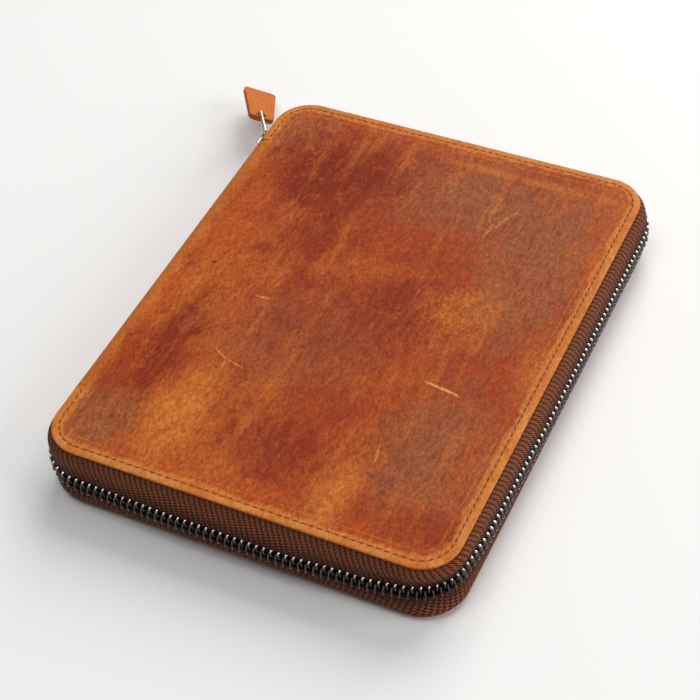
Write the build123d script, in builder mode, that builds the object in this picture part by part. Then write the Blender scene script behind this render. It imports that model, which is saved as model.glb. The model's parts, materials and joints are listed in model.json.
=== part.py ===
from build123d import *
from math import asin, cos, degrees, pi, radians, sin
import os

# Zip-round leather portfolio case, closed and lying on its back cover. Millimetres.
# Origin: centre of the back cover's outer face. +X runs from the spine to the zip side, +Y along
# the spine and +Z up through the case. The front cover is the back cover's mirror image.

# ---- Driving sizes ----

# Case
case_width = 143.0  # spine face to the cover's edge on the zip side
case_length = 182.0
case_thickness = 25.0
corner_radius = 13.0
edge_inset = 2.2  # spine face to a cover's edge where the spine has ended
front_notch = 24.0  # front edge to the spine's end
back_notch = 25.0  # spine's other end to the back edge
fold_radius = 5.5  # outside of the leather at each fold
fold_gap = 0.3  # between the two halves of a fold

# Layers
cover_leather = 1.4
board = 1.2
lining = 0.8
pocket_leather = 1.0
board_play = 0.5  # board to the zip tape's margin
lining_margin = 3.0  # cover's edge to the lining's edge
fold_play = 0.5  # start of a fold to the boards and linings beside it
spine_play = 1.0  # spine's end to its board and lining
pocket_margin = 10.0  # pocket's side to the lining's edge
pocket_height = 104.0
pocket_corner = 4.0
thumb_radius = 42.0  # shallow finger cut in a pocket's mouth
thumb_depth = 7.0

# Zip
tape = 0.8
tape_margin = 6.0  # sewn in under the leather
tape_bend = 2.2  # inside of the tape where it turns towards the chain
tape_stand_out = 1.8  # cover's edge to the tape's outer face
tape_end_gap = 0.5  # tape's end to the spine's end
chain_height = 5.9
chain_gap = 1.6  # between the two rows of teeth
tooth_pitch = 2.5
tooth_width = 1.25
tooth_depth = 2.4
stop_width = 2.4
stop_inset = 1.6  # tape's end to the middle of its stop

# Slider
slider_length = 9.0
slider_lip = 1.1  # the plates' rims above and below the teeth, at the wide end
slider_taper = 0.4  # how much lower each rim is at the narrow end
slider_corner = 1.3
slider_plate = 1.1
channel_play = 0.55  # each side of the teeth's height
inner_play = 1.1  # teeth and tape to the slider on their inner side, with room for the corner
outer_play = 0.65
post_width = 1.0
post_length = 2.6
post_setback = 0.2
park_play = 0.3  # lower tape to the parked slider

# Bail and pull
bail_length = 7.6
bail_width = 2.0
bail_strap = 0.95
link_wire = 1.2
link_play = 0.2  # link's wire to the bail
link_stand_off = 1.6  # outer plate to the link's wire
link_perch = 1.9  # slider's middle to the link's near bar
link_reach = 12.6  # between the two bars' centres
link_height = 6.2  # between the two arms' centres
link_corner = 1.3
link_heading = 126.0
tab_layer = 1.0
tab_length = 25.0
tab_narrow = 7.4
tab_wide = 13.2
tab_corner = 1.6
tab_hole = 3.4
tab_hole_edge = 2.6  # narrow end to the hole's centre
tab_heading = 120.5
tab_slope = 14.0
tab_roll = 25.0

# ---- Worked-out places ----

spine_x = -case_width / 2
zip_x = case_width / 2
edge_x = spine_x + edge_inset
front_y = -case_length / 2
back_y = case_length / 2
spine_front_y = front_y + front_notch
spine_back_y = back_y - back_notch
mid_z = case_thickness / 2
fold_x = spine_x + fold_radius
corner_x = edge_x + corner_radius
corner_y = back_y - corner_radius
far_corner_x = zip_x - corner_radius
mid_plane = Plane.XY.offset(mid_z)

board_z = cover_leather
lining_z = board_z + board
pocket_z = lining_z + lining
lining_left = fold_x + fold_play
board_inset = tape_margin + board_play

tape_inner = tape_stand_out - tape
tape_turn = tape_inner - tape_bend
tape_edge_z = mid_z - chain_height / 2
tooth_n = tape_stand_out - tape / 2
tooth_height = (chain_height - chain_gap) / 2

channel_inner = tooth_n - tooth_depth / 2 - inner_play
channel_outer = tooth_n + tooth_depth / 2 + outer_play
slot_inner = tape_inner - inner_play
slot_outer = tape_stand_out + outer_play
slider_inner = channel_inner - slider_plate
slider_outer = channel_outer + slider_plate
slider_height = chain_height + 2 * (channel_play + slider_lip)
slider_tail = slider_height - 2 * slider_taper
bail_inside = slider_outer + link_stand_off + link_wire + link_play
link_n = slider_outer + link_stand_off + link_wire / 2
link_pin = Vector(edge_x - link_n, corner_y + link_perch, mid_z)
link_along = Vector(cos(radians(link_heading)), sin(radians(link_heading)), 0)
tab_pin = link_pin + link_along * link_reach
parked_turn = degrees(asin((slider_length / 2 + park_play) / (corner_radius + tape_inner)))

os.makedirs("parts", exist_ok=True)


def write(piece, name):
    """Label a finished piece and write its STEP file."""
    piece.part.label = name
    export_step(piece.part, f"parts/{name}.step")


def cover_panel(left, inset):
    """Draw a cover-shaped panel from left to the zip side, set in from the cover's edges."""
    width = zip_x - inset - left
    with Locations((left + width / 2, 0)):
        RectangleRounded(width, case_length - 2 * inset, corner_radius - inset)


def fold_arc(first, last):
    """Section of the leather at the back cover's fold, between two angles about its centre."""
    centre = (fold_x, fold_radius)
    with BuildSketch() as section:
        with BuildLine():
            outer = CenterArc(centre, fold_radius, first, last - first)
            inner = CenterArc(centre, fold_radius - cover_leather, first, last - first)
            Line(outer @ 0, inner @ 0)
            Line(outer @ 1, inner @ 1)
        make_face()
    return section.sketch


def draw_zip_run():
    """Draw the cover's edge from the back-left corner, round the zip side, to the front notch."""
    Line((corner_x, back_y), (far_corner_x, back_y))
    CenterArc((far_corner_x, corner_y), corner_radius, 90, -90)
    Line((zip_x, corner_y), (zip_x, -corner_y))
    CenterArc((far_corner_x, -corner_y), corner_radius, 0, -90)
    Line((far_corner_x, front_y), (corner_x, front_y))
    CenterArc((corner_x, -corner_y), corner_radius, -90, -90)
    Line((edge_x, -corner_y), (edge_x, spine_front_y - tape_end_gap))


def square_to(run, distance):
    """Plane square to a run, at a distance along it: x points out of the case and y up."""
    heading = run.tangent_at(distance, position_mode=PositionMode.LENGTH)
    spot = run.position_at(distance, position_mode=PositionMode.LENGTH)
    return Plane(origin=spot, x_dir=(-heading.Y, heading.X, 0), z_dir=heading)


def tooth_places(run, first, last):
    """Planes at every tooth between two distances along a run."""
    count = int((last - first) / tooth_pitch) + 1
    return [square_to(run, first + i * tooth_pitch) for i in range(count)]


# ---- Covers: leather, board, lining and pocket ----

spine_length = spine_back_y - spine_front_y
spine_end = Plane.XZ.offset(-spine_back_y)
half_gap = degrees(asin(fold_gap / 2 / fold_radius))

with BuildPart() as back_cover_leather:
    with BuildSketch(Plane.XY):
        cover_panel(edge_x, 0)
        with Locations(((edge_x + spine_x) / 2, (spine_front_y + spine_back_y) / 2)):
            Rectangle(2 * fold_radius + edge_inset, spine_length, mode=Mode.SUBTRACT)
        with Locations((fold_x + fold_radius / 2, (spine_front_y + spine_back_y) / 2)):
            Rectangle(fold_radius, spine_length)
    extrude(amount=cover_leather)
    with BuildSketch(spine_end):
        add(fold_arc(-135 + half_gap, -90))
    extrude(amount=spine_length)

with BuildPart() as back_board:
    with BuildSketch(Plane.XY.offset(board_z)):
        cover_panel(edge_x + board_inset, board_inset)
    extrude(amount=board)

with BuildPart() as back_lining:
    with BuildSketch(Plane.XY.offset(lining_z)):
        cover_panel(lining_left, lining_margin)
    extrude(amount=lining)

pocket_left = lining_left + pocket_margin
pocket_right = zip_x - lining_margin - pocket_margin
pocket_front = front_y + lining_margin + pocket_margin
pocket_mouth = pocket_front + pocket_height
with BuildPart() as back_pocket:
    with BuildSketch(Plane.XY.offset(pocket_z)):
        with Locations(((pocket_left + pocket_right) / 2, (pocket_front + pocket_mouth) / 2)):
            RectangleRounded(pocket_right - pocket_left, pocket_height, pocket_corner)
        with Locations(((pocket_left + pocket_right) / 2, pocket_mouth + thumb_radius - thumb_depth)):
            Circle(thumb_radius, mode=Mode.SUBTRACT)
    extrude(amount=pocket_leather)

with BuildPart() as front_cover_leather:
    mirror(back_cover_leather.part, about=mid_plane)
with BuildPart() as front_board:
    mirror(back_board.part, about=mid_plane)
with BuildPart() as front_lining:
    mirror(back_lining.part, about=mid_plane)
with BuildPart() as front_pocket:
    mirror(back_pocket.part, about=mid_plane)

# ---- Spine ----

with BuildPart() as spine_leather:
    with BuildSketch(spine_end):
        add(fold_arc(-180, -135 - half_gap))
        mirror(about=Plane.XZ.offset(-mid_z))
        with Locations((spine_x + cover_leather / 2, mid_z)):
            Rectangle(cover_leather, case_thickness - 2 * fold_radius)
    extrude(amount=spine_length)


def spine_sheet(depth, thickness):
    """A flat sheet behind the spine's leather, at a depth from the spine's face."""
    with BuildPart() as sheet:
        with BuildSketch(Plane.XZ.offset(spine_play - spine_back_y)):
            with Locations((spine_x + depth + thickness / 2, mid_z)):
                Rectangle(thickness, case_thickness - 2 * fold_radius)
        extrude(amount=spine_length - 2 * spine_play)
    return sheet


spine_board = spine_sheet(board_z, board)
spine_lining = spine_sheet(lining_z, lining)

# ---- Zip ----

# The upper run starts at the back notch and passes through the slider. The lower one starts
# past the parked slider, so that the front cover can lift the slider away from it.
with BuildLine() as upper_line:
    Line((edge_x, spine_back_y + tape_end_gap), (edge_x, corner_y))
    CenterArc((corner_x, corner_y), corner_radius, 180, -90)
    draw_zip_run()
with BuildLine() as lower_line:
    CenterArc((corner_x, corner_y), corner_radius, 180 - parked_turn, parked_turn - 90)
    draw_zip_run()
upper_run = upper_line.wire()
lower_run = lower_line.wire()

# Lower tape's section, drawn with x out of the case from the cover's edge and y up
with BuildSketch() as tape_section:
    outer_bend = tape_bend + tape
    bend_centre = (tape_turn, cover_leather + outer_bend)
    with BuildLine():
        Polyline(
            (tape_turn, cover_leather),
            (-tape_margin, cover_leather),
            (-tape_margin, cover_leather + tape),
            (tape_turn, cover_leather + tape),
        )
        CenterArc(bend_centre, tape_bend, -90, 90)
        Polyline(
            (tape_inner, bend_centre[1]),
            (tape_inner, tape_edge_z),
            (tape_stand_out, tape_edge_z),
            (tape_stand_out, bend_centre[1]),
        )
        CenterArc(bend_centre, outer_bend, -90, 90)
    make_face()
section_mirror = Plane.XZ.offset(-mid_z)

with BuildPart() as lower_zip_tape:
    with BuildSketch(square_to(lower_run, 0)):
        add(tape_section.sketch)
    sweep(path=lower_run)

with BuildPart() as upper_zip_tape:
    with BuildSketch(square_to(upper_run, 0)):
        mirror(tape_section.sketch, about=section_mirror)
    sweep(path=upper_run)

lower_tooth_z = tape_edge_z + tooth_height / 2
upper_tooth_z = case_thickness - lower_tooth_z
first_tooth = stop_inset + tooth_pitch
last_tooth = upper_run.length - first_tooth
parked_length = upper_run.length - lower_run.length
steps_parked = int((parked_length - first_tooth) / tooth_pitch) + 1
first_lower = first_tooth + (steps_parked + 0.5) * tooth_pitch - parked_length

with BuildPart() as upper_zip_teeth:
    with Locations(*tooth_places(upper_run, first_tooth, last_tooth)):
        with Locations((tooth_n, upper_tooth_z, 0)):
            Box(tooth_depth, tooth_height, tooth_width)

with BuildPart() as lower_zip_teeth:
    with Locations(*tooth_places(lower_run, first_lower, lower_run.length - first_tooth)):
        with Locations((tooth_n, lower_tooth_z, 0)):
            Box(tooth_depth, tooth_height, tooth_width)

upper_ends = [stop_inset, upper_run.length - stop_inset]
with BuildPart() as upper_zip_stops:
    with Locations(*[square_to(upper_run, end) for end in upper_ends]):
        with Locations((tooth_n, upper_tooth_z, 0)):
            Box(tooth_depth, tooth_height, stop_width)

with BuildPart() as lower_zip_stop:
    with Locations(square_to(lower_run, lower_run.length - stop_inset)):
        with Locations((tooth_n, lower_tooth_z, 0)):
            Box(tooth_depth, tooth_height, stop_width)

# ---- Slider ----

# Drawn on the plates' plane: x runs towards the wide end, y up and z out of the case.
slider_plane = Plane(origin=(edge_x, corner_y, mid_z), x_dir=(0, -1, 0), z_dir=(-1, 0, 0))
shoulder = slider_length / 2
with BuildPart() as slider_body:
    with BuildSketch(slider_plane.offset(slider_inner)):
        Polygon(
            (shoulder, slider_height / 2),
            (-shoulder, slider_tail / 2),
            (-shoulder, -slider_tail / 2),
            (shoulder, -slider_height / 2),
            align=None,
        )
        fillet(vertices(), slider_corner)
    extrude(amount=slider_outer - slider_inner)
    with BuildSketch(slider_plane.offset(channel_inner)):
        Rectangle(2 * slider_length, chain_height + 2 * channel_play)
    extrude(amount=channel_outer - channel_inner, mode=Mode.SUBTRACT)
    with BuildSketch(slider_plane.offset(slot_inner)):
        Rectangle(2 * slider_length, 2 * slider_height)
    extrude(amount=slot_outer - slot_inner, mode=Mode.SUBTRACT)
    with BuildSketch(slider_plane.offset(channel_inner)):
        with Locations((shoulder - post_setback - post_length / 2, 0)):
            Rectangle(post_length, post_width)
    extrude(amount=channel_outer - channel_inner)

bail_plane = Plane(origin=(edge_x, corner_y, mid_z), x_dir=(0, 1, 0), z_dir=(0, 0, 1))
with BuildPart() as slider_bail:
    with BuildSketch(bail_plane):
        rise = bail_inside + bail_strap - slider_outer
        with Locations((0, slider_outer + rise / 2)):
            Rectangle(bail_length, rise)
        fillet(vertices().group_by(Axis.Y)[-1], 2 * bail_strap)
        with Locations((0, (slider_outer + bail_inside) / 2)):
            Rectangle(bail_length - 2 * bail_strap, bail_inside - slider_outer, mode=Mode.SUBTRACT)
    extrude(amount=bail_width / 2, both=True)

# ---- Pull: wire link and two-layer leather tab ----

link_plane = Plane(origin=link_pin, x_dir=link_along, z_dir=(link_along.Y, -link_along.X, 0))
with BuildPart() as pull_link:
    with BuildLine(link_plane) as link_ring:
        FilletPolyline(
            (0, -link_height / 2),
            (0, link_height / 2),
            (link_reach, link_height / 2),
            (link_reach, -link_height / 2),
            radius=link_corner,
            close=True,
        )
    with BuildSketch(Plane(origin=link_ring.wire() @ 0, z_dir=link_ring.wire() % 0)):
        Circle(link_wire / 2)
    sweep(path=link_ring.wire())

tab_turns = [(Axis.X, tab_roll), (Axis.Y, tab_slope), (Axis.Z, tab_heading)]
tab_along = Vector(1, 0, 0)
tab_up = Vector(0, 0, 1)
for axis, angle in tab_turns:
    tab_along = tab_along.rotate(axis, angle)
    tab_up = tab_up.rotate(axis, angle)
tab_plane = Plane(origin=tab_pin, x_dir=tab_along, z_dir=tab_up)


def tab_sheet(depth):
    """One leather layer of the tab, starting at a depth along the tab's plane."""
    with BuildPart() as sheet:
        with BuildSketch(tab_plane.offset(depth)):
            Polygon(
                (-tab_hole_edge, tab_narrow / 2),
                (-tab_hole_edge, -tab_narrow / 2),
                (tab_length - tab_hole_edge, -tab_wide / 2),
                (tab_length - tab_hole_edge, tab_wide / 2),
                align=None,
            )
            fillet(vertices(), tab_corner)
            Circle(tab_hole / 2, mode=Mode.SUBTRACT)
        extrude(amount=tab_layer)
    return sheet


pull_tab_face = tab_sheet(0)
pull_tab_backing = tab_sheet(-tab_layer)

write(back_cover_leather, "back_cover_leather")
write(back_board, "back_board")
write(back_lining, "back_lining")
write(back_pocket, "back_pocket")
write(lower_zip_tape, "lower_zip_tape")
write(lower_zip_teeth, "lower_zip_teeth")
write(lower_zip_stop, "lower_zip_stop")
write(spine_leather, "spine_leather")
write(spine_board, "spine_board")
write(spine_lining, "spine_lining")
write(front_cover_leather, "front_cover_leather")
write(front_board, "front_board")
write(front_lining, "front_lining")
write(front_pocket, "front_pocket")
write(upper_zip_tape, "upper_zip_tape")
write(upper_zip_teeth, "upper_zip_teeth")
write(upper_zip_stops, "upper_zip_stops")
write(slider_body, "slider_body")
write(slider_bail, "slider_bail")
write(pull_link, "pull_link")
write(pull_tab_face, "pull_tab_face")
write(pull_tab_backing, "pull_tab_backing")

fold_hinge = fold_radius * (1 - pi / 4)
print("fold hinges, from the spine face and the outer faces:", round(fold_hinge, 4))
print("slider turns about", round(corner_x, 3), round(corner_y, 3))
print("link pin", [round(v, 3) for v in link_pin], "tab pin", [round(v, 3) for v in tab_pin])
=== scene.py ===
"""The leather portfolio case: hide, stitching, zip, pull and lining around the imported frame."""

import json
from math import asin, atan2, cos, pi, radians, sin

import bmesh
import bpy
from mathutils import Matrix, Vector

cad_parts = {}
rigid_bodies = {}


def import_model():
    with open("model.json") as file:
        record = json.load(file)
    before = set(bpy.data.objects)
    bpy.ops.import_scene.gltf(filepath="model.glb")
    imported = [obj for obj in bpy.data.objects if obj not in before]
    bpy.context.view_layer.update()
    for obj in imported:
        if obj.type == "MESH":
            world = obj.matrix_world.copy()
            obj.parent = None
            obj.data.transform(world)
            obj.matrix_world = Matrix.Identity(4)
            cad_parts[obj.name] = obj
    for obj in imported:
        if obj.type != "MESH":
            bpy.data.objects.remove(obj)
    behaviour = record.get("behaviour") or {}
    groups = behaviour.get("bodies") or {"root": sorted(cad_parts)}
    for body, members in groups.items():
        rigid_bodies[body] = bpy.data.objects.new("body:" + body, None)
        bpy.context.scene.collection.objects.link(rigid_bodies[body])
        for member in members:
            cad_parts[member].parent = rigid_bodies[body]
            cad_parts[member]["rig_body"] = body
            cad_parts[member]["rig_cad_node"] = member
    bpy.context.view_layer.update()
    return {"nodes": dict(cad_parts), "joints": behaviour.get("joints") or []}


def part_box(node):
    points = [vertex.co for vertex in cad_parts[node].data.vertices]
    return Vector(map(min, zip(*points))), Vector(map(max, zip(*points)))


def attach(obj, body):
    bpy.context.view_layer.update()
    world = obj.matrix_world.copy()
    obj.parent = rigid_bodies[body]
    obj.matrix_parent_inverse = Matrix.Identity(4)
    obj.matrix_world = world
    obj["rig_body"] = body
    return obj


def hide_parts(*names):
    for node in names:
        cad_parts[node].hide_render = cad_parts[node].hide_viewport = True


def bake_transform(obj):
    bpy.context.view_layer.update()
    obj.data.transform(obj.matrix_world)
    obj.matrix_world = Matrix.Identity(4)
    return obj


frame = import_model()

MM = 0.001
UP = Vector((0, 0, 1))

# ---- Sizes, in metres, from the frame ----

cover_low, cover_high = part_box("back_cover_leather")
spine_low, spine_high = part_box("spine_leather")
back_low, back_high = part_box("back_lining")
pocket_low, pocket_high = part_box("back_pocket")
tape_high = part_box("upper_zip_tape")[1]

case_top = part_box("front_cover_leather")[1].z
mid_z = case_top / 2
zip_x = cover_high.x
front_y, back_y = cover_low.y, cover_high.y
spine_x = spine_low.x
spine_front_y, spine_back_y = spine_low.y, spine_high.y
lining_z = back_low.z

# Sizes the frame has no box for
corner_radius = 13.0 * MM
edge_inset = 2.2 * MM
fold_radius = 5.5 * MM
hide = 1.4 * MM
lining = back_high.z - back_low.z
tape = 0.8 * MM
tape_margin = 6.0 * MM
tape_out = tape_high.x - zip_x
tape_bend = 3.0 * MM
chain_height = 5.9 * MM
tooth_pitch = 2.5 * MM
stop_inset = 1.6 * MM
tape_end_gap = 0.5 * MM
stitch_inset = 2.75 * MM
stitch_pitch = 2.75 * MM
stitch_start = 1.3 * MM
stitch_sink = 0.2 * MM
cord_radius = 0.62 * MM
cord_drop = 0.35 * MM
pocket_hem = 2.0 * MM
pocket_turn = 3.0 * MM
pocket_stitch_start = 2.4 * MM
pocket_stitch_sink = 0.03 * MM

edge_x = spine_x + edge_inset
fold_x = spine_x + fold_radius
corner_x = edge_x + corner_radius
corner_y = back_y - corner_radius
far_x = zip_x - corner_radius

# ---- Camera ----

view_target = Vector((-4.93, 2.03, 0)) * MM
view_azimuth = radians(29.262)
view_height = radians(46.544)
view_roll = radians(-5.491)
view_distance = 0.6273
toward_camera = Vector(
    (
        sin(view_azimuth) * cos(view_height),
        -cos(view_azimuth) * cos(view_height),
        sin(view_height),
    )
)
level_right = UP.cross(toward_camera).normalized()
level_up = toward_camera.cross(level_right)
camera_right = level_right * cos(view_roll) + level_up * sin(view_roll)
camera_up = level_up * cos(view_roll) - level_right * sin(view_roll)
camera_data = bpy.data.cameras.new("camera")
camera_data.lens = 93.7
camera_data.sensor_width = 36
camera = bpy.data.objects.new("camera", camera_data)
bpy.context.scene.collection.objects.link(camera)
camera.matrix_world = Matrix.Translation(view_target + toward_camera * view_distance) @ Matrix(
    (camera_right, camera_up, toward_camera)
).transposed().to_4x4()
bpy.context.scene.camera = camera

# ---- Modelling by hand ----


def only(piece):
    """Select one piece and make it active."""
    bpy.ops.object.select_all(action="DESELECT")
    piece.select_set(True)
    bpy.context.view_layer.objects.active = piece


def fresh(name):
    """The primitive just added, named, with its place in its mesh."""
    piece = bpy.context.object
    piece.name = name
    piece.data.name = name
    only(piece)
    bpy.ops.object.transform_apply(location=True, rotation=True, scale=True)
    return piece


def edit(piece):
    only(piece)
    bpy.ops.object.mode_set(mode="EDIT")


def done():
    bpy.ops.object.mode_set(mode="OBJECT")


def pick(kind, test):
    """In edit mode, select only the vertices, edges or faces whose middle passes a test."""
    piece = bpy.context.edit_object
    bpy.ops.mesh.select_mode(type=kind)
    bpy.ops.mesh.select_all(action="DESELECT")
    mesh = bmesh.from_edit_mesh(piece.data)
    items = {"VERT": mesh.verts, "EDGE": mesh.edges, "FACE": mesh.faces}[kind]
    for item in items:
        corners = [item] if kind == "VERT" else item.verts
        middle = sum((v.co for v in corners), Vector()) / len(corners)
        if test(middle):
            item.select_set(True)
    mesh.select_flush_mode()
    bmesh.update_edit_mesh(piece.data)


def push(value):
    """Extrude what is selected and move it."""
    bpy.ops.mesh.extrude_region_move(TRANSFORM_OT_translate={"value": value})


def swing(angle, centre, axis, steps):
    """Spin what is selected about an axis, right-handed."""
    bpy.ops.mesh.spin(steps=steps, angle=-angle, center=centre, axis=axis)


def modify(piece, kind, **settings):
    """Add a modifier, set it and apply it."""
    only(piece)
    modifier = piece.modifiers.new(kind, kind)
    for key, value in settings.items():
        setattr(modifier, key, value)
    bpy.ops.object.modifier_apply(modifier=modifier.name)


def face_outwards(piece):
    """Turn a closed piece's faces outwards if they point in."""
    mesh = bmesh.new()
    mesh.from_mesh(piece.data)
    inside_out = mesh.calc_volume(signed=True) < 0
    mesh.free()
    if inside_out:
        piece.data.flip_normals()


def soften(piece, width=0, segments=3, angle=40):
    """Round a piece's edges and shade it smooth."""
    if width:
        modify(
            piece,
            "BEVEL",
            width=width,
            segments=segments,
            limit_method="ANGLE",
            angle_limit=radians(angle),
            use_clamp_overlap=True,
            harden_normals=False,
        )
    only(piece)
    bpy.ops.object.shade_smooth_by_angle(angle=radians(50))
    modify(piece, "WEIGHTED_NORMAL", keep_sharp=True, weight=80)


def mirrored(piece, name):
    """A copy of an upper piece for the lower half of the case."""
    copy = piece.copy()
    copy.data = piece.data.copy()
    copy.name = name
    copy.data.name = name
    bpy.context.scene.collection.objects.link(copy)
    flip = Matrix.Translation(UP * mid_z) @ Matrix.Scale(-1, 4, UP) @ Matrix.Translation(-UP * mid_z)
    copy.data.transform(flip)
    face_outwards(copy)
    return copy


def repeat(template, places, name):
    """One piece made of a copy of the template at each place; the template goes."""
    copies = []
    for place in places:
        copy = template.copy()
        copy.data = template.data.copy()
        copy.data.transform(place)
        bpy.context.scene.collection.objects.link(copy)
        copies.append(copy)
    bpy.data.objects.remove(template)
    only(copies[0])
    for copy in copies:
        copy.select_set(True)
    bpy.ops.object.join()
    copies[0].name = name
    copies[0].data.name = name
    return copies[0]


def loft(name, rings, sides=8):
    """A closed bar through rings of (height, width, depth), standing along Z."""
    height, width, depth = rings[0]
    bpy.ops.mesh.primitive_circle_add(
        vertices=sides, radius=0.5 / cos(pi / sides), fill_type="NGON", location=(0, 0, height)
    )
    piece = fresh(name)
    edit(piece)
    bpy.ops.mesh.select_all(action="SELECT")
    bpy.ops.transform.rotate(value=pi / sides, orient_axis="Z", center_override=(0, 0, height))
    bpy.ops.transform.resize(value=(width, depth, 1), center_override=(0, 0, height))
    for last, ring in zip(rings, rings[1:]):
        push((0, 0, ring[0] - last[0]))
        scale = (ring[1] / last[1], ring[2] / last[2], 1)
        bpy.ops.transform.resize(value=scale, center_override=(0, 0, ring[0]))
    done()
    face_outwards(piece)
    return piece


# ---- Runs along the case: straights and turns ----


def straight(start, end, lift=UP):
    return {"start": Vector(start), "end": Vector(end), "lift": Vector(lift)}


def turn(centre, start, axis, angle, lift=None):
    """An arc about an axis. With no lift its own radius points out of the surface."""
    return {
        "centre": Vector(centre),
        "start": Vector(start),
        "axis": Vector(axis),
        "angle": angle,
        "lift": lift,
    }


def run_length(part):
    if "angle" not in part:
        return (part["end"] - part["start"]).length
    return (part["start"] - part["centre"]).length * abs(part["angle"])


def place_on(part, distance):
    """Matrix at a distance along a part: X runs along it and Z is its lift."""
    if "angle" not in part:
        heading = (part["end"] - part["start"]).normalized()
        spot = part["start"] + heading * distance
        lift = part["lift"]
    else:
        share = part["angle"] * distance / run_length(part)
        spin = Matrix.Rotation(share, 3, part["axis"])
        arm = spin @ (part["start"] - part["centre"])
        spot = part["centre"] + arm
        heading = part["axis"].cross(arm).normalized() * (1 if part["angle"] > 0 else -1)
        lift = part["lift"] or arm.normalized()
    side = lift.cross(heading)
    return Matrix.Translation(spot) @ Matrix((heading, side, lift)).transposed().to_4x4()


def place_at(parts, distance):
    """Matrix at a distance along a whole run."""
    for part in parts:
        if distance <= run_length(part) + 1e-9:
            break
        distance -= run_length(part)
    return place_on(part, min(distance, run_length(part)))


def places_along(parts, first, pitch):
    """Matrices at an even pitch along a run, which ends as far from its end as it starts."""
    total = sum(run_length(part) for part in parts)
    count = int((total - 2 * first) / pitch + 0.5)
    step = (total - 2 * first) / count
    return [place_at(parts, first + i * step) for i in range(count + 1)]


def cover_run(inset, z, start_y, end_y):
    """A cover's edge line at an inset, clockwise from the spine's back end to its front end."""
    r = corner_radius - inset
    left, right = edge_x + inset, zip_x - inset
    low, high = front_y + inset, back_y - inset
    down = Vector((0, 0, -1))
    return [
        straight((left, start_y, z), (left, corner_y, z)),
        turn((corner_x, corner_y, z), (left, corner_y, z), down, pi / 2, UP),
        straight((corner_x, high, z), (far_x, high, z)),
        turn((far_x, corner_y, z), (far_x, high, z), down, pi / 2, UP),
        straight((right, corner_y, z), (right, -corner_y, z)),
        turn((far_x, -corner_y, z), (right, -corner_y, z), down, pi / 2, UP),
        straight((far_x, low, z), (corner_x, low, z)),
        turn((corner_x, -corner_y, z), (corner_x, low, z), down, pi / 2, UP),
        straight((left, -corner_y, z), (left, end_y, z)),
    ]


def sweep(parts, steps=10):
    """In edit mode, carry the selected section along a run."""
    for part in parts:
        if "angle" in part:
            swing(part["angle"], part["centre"], part["axis"], steps)
        else:
            pieces = max(1, round(run_length(part) / (12 * MM)))
            for _ in range(pieces):
                push((part["end"] - part["start"]) / pieces)


def measure_along(parts, spot):
    """How far along a flat run a point lies, and how far outside it."""
    best = None
    before = 0
    for part in parts:
        length = run_length(part)
        if "angle" in part:
            arm = (spot - part["centre"]).to_2d()
            start = (part["start"] - part["centre"]).to_2d()
            passed = (atan2(start.y, start.x) - atan2(arm.y, arm.x)) % (2 * pi)
            passed = passed if passed < pi + pi / 4 else 0
            passed = min(passed, part["angle"])
            distance = passed * start.length
        else:
            heading = (part["end"] - part["start"]) / length
            distance = min(max((spot - part["start"]).dot(heading), 0), length)
        place = place_on(part, distance)
        offset = (spot - place.translation).to_2d()
        miss = offset.length
        if best is None or miss < best[0] - 1e-9:
            best = (miss, before + distance, offset.dot(place.col[1].to_2d()))
        before += length
    return best[1], best[2]


# The chain and the tape beside it bow alike, and the bow fades out towards the leather
bow_flat = 3.5 * MM
bow_fade = 6.0 * MM

# How far the soft tape stands out or is drawn in at the chain, by its share of the run
tape_bow = [
    (0.0, 0.0),
    (0.20, 0.0),
    (0.36, 0.9),
    (0.52, 0.9),
    (0.62, 0.2),
    (0.682, -2.5),
    (0.735, 0.6),
    (0.79, 2.0),
    (0.86, 1.8),
    (0.92, 0.9),
    (0.955, 0.0),
    (1.0, 0.0),
]


def smooth(share):
    share = min(max(share, 0), 1)
    return share * share * (3 - 2 * share)


def bow(piece):
    """Let the tape and what it holds swell between the corners and draw in at the near one."""
    total = sum(run_length(part) for part in zip_run)
    for vertex in piece.data.vertices:
        spot = vertex.co
        along, outside = measure_along(zip_run, Vector((spot.x, spot.y, 0)))
        share = along / total
        for (low, first), (high, second) in zip(tape_bow, tape_bow[1:]):
            if share <= high:
                break
        out = first + (second - first) * smooth((share - low) / (high - low))
        hang = 1 - smooth((abs(spot.z - mid_z) - bow_flat) / bow_fade)
        aside = place_at(zip_run, along).col[1].to_3d()
        vertex.co += aside * out * hang * MM


# ---- Shader building ----


def give(tree, socket, value):
    """Set a socket to a value, or join another node's socket to it."""
    if isinstance(value, bpy.types.NodeSocket):
        tree.links.new(value, socket)
    else:
        socket.default_value = value


def node(tree, kind, settings=None, **inputs):
    """A shader node with its inputs by name, or by number as i0, i1 and so on."""
    made = tree.nodes.new("ShaderNode" + kind)
    for key, value in (settings or {}).items():
        setattr(made, key, value)
    for key, value in inputs.items():
        name = key.replace("_", " ")
        give(tree, made.inputs[int(name[1:]) if name[0] == "i" and name[1:].isdigit() else name], value)
    return made


def sums(tree, operation, a, b=0.0):
    return node(tree, "Math", {"operation": operation}, i0=a, i1=b).outputs[0]


def plus(tree, a, b):
    return sums(tree, "ADD", a, b)


def minus(tree, a, b):
    return sums(tree, "SUBTRACT", a, b)


def times(tree, a, b):
    return sums(tree, "MULTIPLY", a, b)


def fade(tree, value, low, high, out_low=0.0, out_high=1.0):
    """Smooth step of a value between two limits."""
    limits = {"From_Min": low, "From_Max": high, "To_Min": out_low, "To_Max": out_high}
    steps = {"interpolation_type": "SMOOTHSTEP"}
    return node(tree, "MapRange", steps, Value=value, **limits).outputs[0]


def blend_colour(tree, share, a, b, how="MIX"):
    made = node(tree, "Mix", {"data_type": "RGBA", "blend_type": how}, i0=share, i6=a, i7=b)
    return made.outputs[2]


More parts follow.
